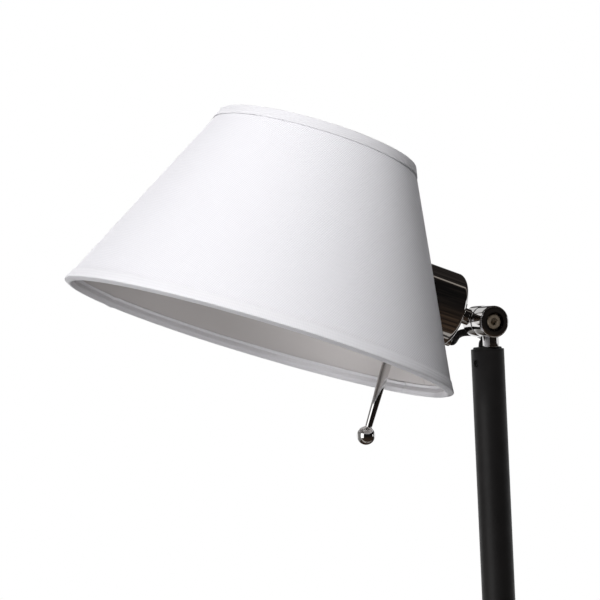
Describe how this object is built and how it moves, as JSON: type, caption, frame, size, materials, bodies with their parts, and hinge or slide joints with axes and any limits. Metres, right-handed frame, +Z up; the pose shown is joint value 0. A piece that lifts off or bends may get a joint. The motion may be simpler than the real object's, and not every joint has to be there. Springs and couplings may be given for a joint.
{
  "type": "pharmacy floor lamp",
  "caption": "Floor lamp with a round weighted base, a slim black post and a tilting, swivelling head: conical fabric shade on a polished cup with a ball-ended handle.",
  "frame": {"origin": "centre of the round base, on the floor", "axes": "+Z up along the post; the head reaches towards -Y; +X is the side that the hinge screw's head is on"},
  "size_m": [0.28, 0.4217, 1.4469],
  "materials": {
    "black_paint": "satin black powder coat",
    "black_plastic": "fine matt moulding",
    "chrome": "polished plating",
    "steel": "zinc plated",
    "brass": "plain",
    "iron": "as cast",
    "rubber": "matt",
    "white_fabric": "fine plain weave laminated on a white panel",
    "hem_fabric": "folded strip of the same weave",
    "white_wire": "gloss white coat",
    "opal_glass": "opal"
  },
  "bodies": {
    "stand": {"foot_pad": "rubber", "base_weight": "iron", "base_cover": "black_paint", "base_washer": "steel", "base_nut": "steel", "base_spacer": "steel", "stud": "steel", "cord_bush": "rubber", "post_collar": "black_paint", "foot_plug": "steel", "post_lower": "black_paint", "post_middle": "black_paint", "post_upper": "black_paint", "coupler_1": "steel", "coupler_2": "steel", "grub_screw": "black_paint", "post_lead": "rubber"},
    "swivel": {"top_insert": "black_plastic", "knuckle_lower": "chrome", "stub_nut": "steel", "cable_jumper": "rubber"},
    "head": {"knuckle_upper": "chrome", "friction_washer": "black_plastic", "spring_washer": "steel", "hinge_screw": "steel", "hinge_nut": "steel", "socket_cup": "chrome", "cable_gland": "chrome", "neck_washer": "steel", "neck_nut": "steel", "lampholder_body": "black_plastic", "screw_shell": "brass", "centre_contact": "brass", "shade_ring_nut": "black_plastic", "bracket_ring": "white_wire", "rear_arm_left": "white_wire", "rear_arm_right": "white_wire", "side_arm_left": "white_wire", "side_arm_right": "white_wire", "shade_panel": "white_fabric", "top_hem": "hem_fabric", "bottom_hem": "hem_fabric", "top_ring": "white_wire", "bottom_ring": "white_wire", "bulb_cap": "steel", "bulb_globe": "opal_glass", "handle_rod": "chrome", "handle_nut": "steel", "handle_ball": "chrome"}
  },
  "joints": [
    {"name": "head_swivel", "type": "hinge", "parent": "stand", "child": "swivel", "pos_m": [0, 0, 1.28], "axis": [0, 0, 1], "range_deg": [-150, 150]},
    {"name": "head_tilt", "type": "hinge", "parent": "swivel", "child": "head", "pos_m": [-0.0012, 0, 1.3], "axis": [1, 0, 0], "range_deg": [-50, 18], "deforming": ["cable_jumper"]}
  ]
}
